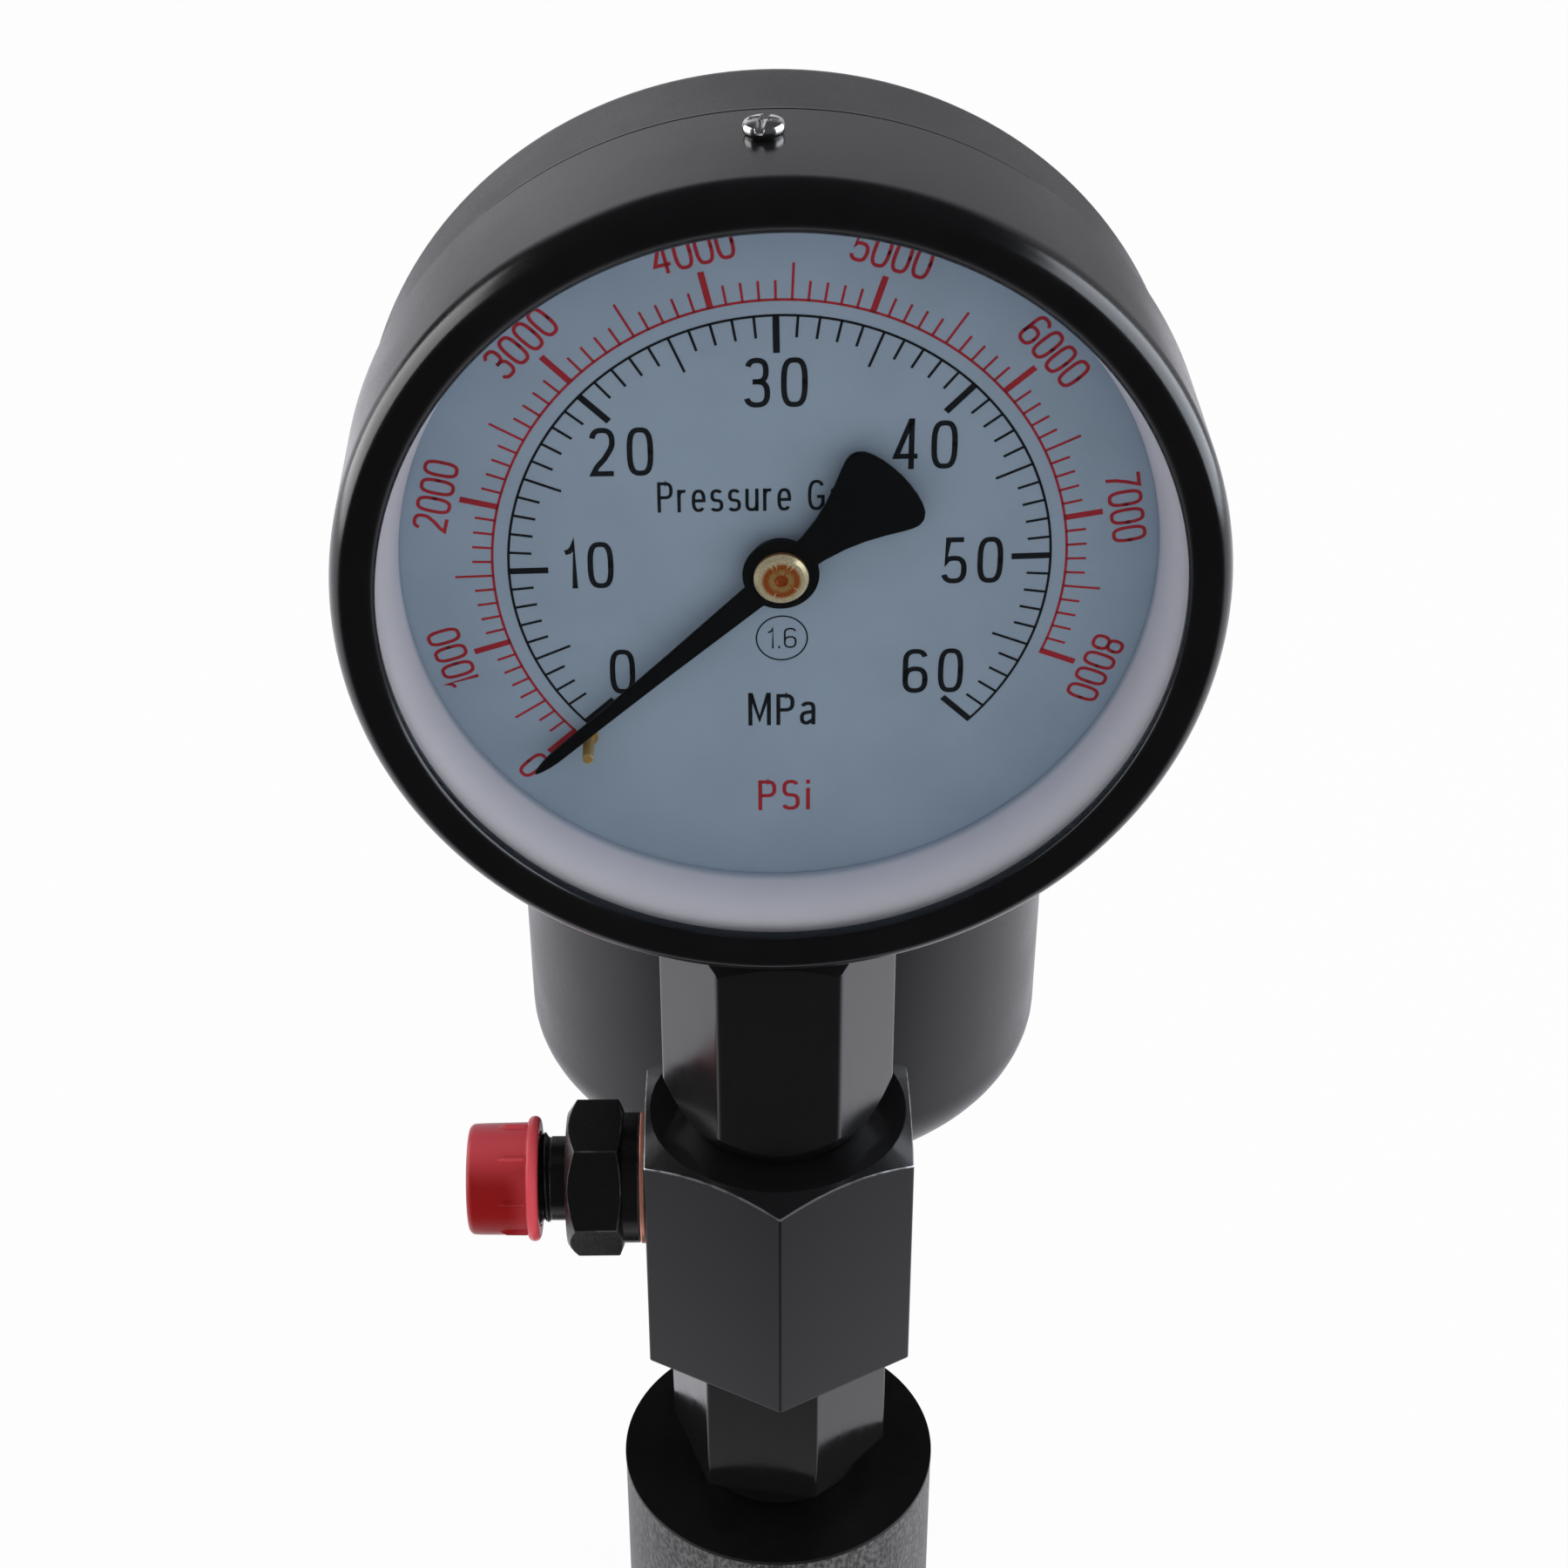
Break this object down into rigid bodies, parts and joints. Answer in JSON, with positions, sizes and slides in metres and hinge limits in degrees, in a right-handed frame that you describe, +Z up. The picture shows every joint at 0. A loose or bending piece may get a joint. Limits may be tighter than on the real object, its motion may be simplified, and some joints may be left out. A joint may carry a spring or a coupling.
{
  "type": "diesel injector tester",
  "caption": "Hand pump on a foot, worked by a rear lever, with a pressure gauge on hexagonal fittings, a capped side outlet and a reservoir behind.",
  "frame": {"origin": "on the pump axis, at the foot's underside", "axes": "+Z up along the pump axis, -Y towards the reader of the dial, -X towards the outlet"},
  "size_m": [0.1136, 0.3341, 0.3661],
  "materials": {
    "cast_paint": "textured charcoal paint over casting, machined black top",
    "black_steel": "black oxide, satin",
    "bright_steel": "ground",
    "spring_steel": "oiled wire",
    "nickel": "nickel plated",
    "copper": "annealed copper",
    "brass": "turned brass",
    "case_paint": "semi-gloss black enamel",
    "cup_paint": "satin black enamel",
    "glass": "clear window",
    "dial_print": "pale blue-grey printed plate",
    "spacer_white": "off-white ring",
    "pointer_black": "matt black",
    "seal_rubber": "black rubber",
    "red_cap": "soft red plastic",
    "grip_rubber": "black moulded grip",
    "knob_black": "black moulded knob"
  },
  "bodies": {
    "housing": {"pump_housing": "cast_paint", "barrel": "bright_steel", "valve_seat": "bright_steel", "valve_gasket": "copper", "valve_holder": "black_steel", "junction_block": "black_steel", "outlet_washer": "copper", "outlet_union": "black_steel", "gauge_adapter": "black_steel", "gauge_washer": "copper", "gauge_socket": "bright_steel", "gauge_case": "case_paint", "gauge_bezel": "case_paint", "gauge_glass": "glass", "glass_seal": "seal_rubber", "spacer_ring": "spacer_white", "dial": "dial_print", "stop_pin": "brass", "bezel_screw_1": "nickel", "bezel_screw_2": "nickel", "bezel_screw_3": "nickel", "case_screw_1": "nickel", "case_screw_2": "nickel", "bourdon_tube": "brass", "movement_front_plate": "brass", "movement_back_plate": "brass", "movement_pillar_1": "brass", "movement_pillar_2": "brass", "movement_pillar_3": "brass", "reservoir_cup": "cup_paint", "reservoir_seal": "seal_rubber", "reservoir_bolt": "bright_steel", "bolt_seal": "copper", "strainer": "brass", "plunger_spring": "spring_steel", "valve_spring": "spring_steel", "pivot_pin": "bright_steel", "pivot_clip_right": "spring_steel", "pivot_clip_left": "spring_steel"},
    "lever": {"lever_arm": "black_steel", "lever_rod": "nickel", "lever_grip": "grip_rubber", "rod_screw": "nickel", "roller_pin": "bright_steel"},
    "roller": {"nose_roller": "bright_steel"},
    "plunger_group": {"plunger": "bright_steel", "spring_plate": "spring_steel", "tappet": "bright_steel"},
    "valve": {"delivery_valve": "bright_steel"},
    "cap": {"outlet_cap": "red_cap"},
    "pointer_group": {"pointer": "pointer_black", "pointer_cap": "brass", "spindle": "brass"},
    "sector": {"sector_gear": "brass"},
    "tip_group": {"tube_tip": "brass", "link": "brass"},
    "lid": {"reservoir_lid": "cup_paint", "lid_knob": "knob_black"}
  },
  "joints": [
    {"name": "lever_pivot", "type": "hinge", "parent": "housing", "child": "lever", "pos_m": [0, 0.02, 0.034], "axis": [-1, 0, 0], "range_deg": [0, 30], "stiffness_Nm_per_rad": 3, "springref_deg": -25.78},
    {"name": "roller_spin", "type": "hinge", "parent": "lever", "child": "roller", "pos_m": [0, 0.00068, 0.02882], "axis": [1, 0, 0], "continuous": true},
    {"name": "plunger_slide", "type": "slide", "parent": "housing", "child": "plunger_group", "axis": [0, 0, 1], "range_m": [0, 0.01036], "deforming": ["plunger_spring"]},
    {"name": "valve_lift", "type": "slide", "parent": "housing", "child": "valve", "axis": [0, 0, 1], "range_m": [0, 0.0015], "stiffness_N_per_m": 3000, "springref_m": -0.003, "deforming": ["valve_spring"]},
    {"name": "cap_pull", "type": "slide", "parent": "housing", "child": "cap", "axis": [-0.9997, -0.0262, 0], "range_m": [0, 0.02]},
    {"name": "lid_lift", "type": "slide", "parent": "housing", "child": "lid", "axis": [0, 0, 1], "range_m": [0, 0.04]},
    {"name": "pointer_turn", "type": "hinge", "parent": "housing", "child": "pointer_group", "pos_m": [0.00058, -0.01286, 0.3077], "axis": [-0.0454, 0.999, 0], "range_deg": [0, 266.2], "stiffness_Nm_per_rad": 0.002, "springref_deg": -28.65},
    {"name": "sector_swing", "type": "hinge", "parent": "housing", "child": "sector", "pos_m": [0, 0, 0.2836], "axis": [0.0454, -0.999, 0], "range_deg": [0, 29.6]},
    {"name": "tip_rise", "type": "slide", "parent": "housing", "child": "tip_group", "axis": [0, 0, 1], "range_m": [0, 0.0046], "deforming": ["bourdon_tube"]}
  ],
  "couplings": [
    {"joint": "plunger_slide", "follows": "lever_pivot", "m_per_rad": 0.01977},
    {"joint": "sector_swing", "follows": "pointer_turn", "ratio": 0.11111},
    {"joint": "tip_rise", "follows": "pointer_turn", "m_per_rad": 0.000989}
  ]
}
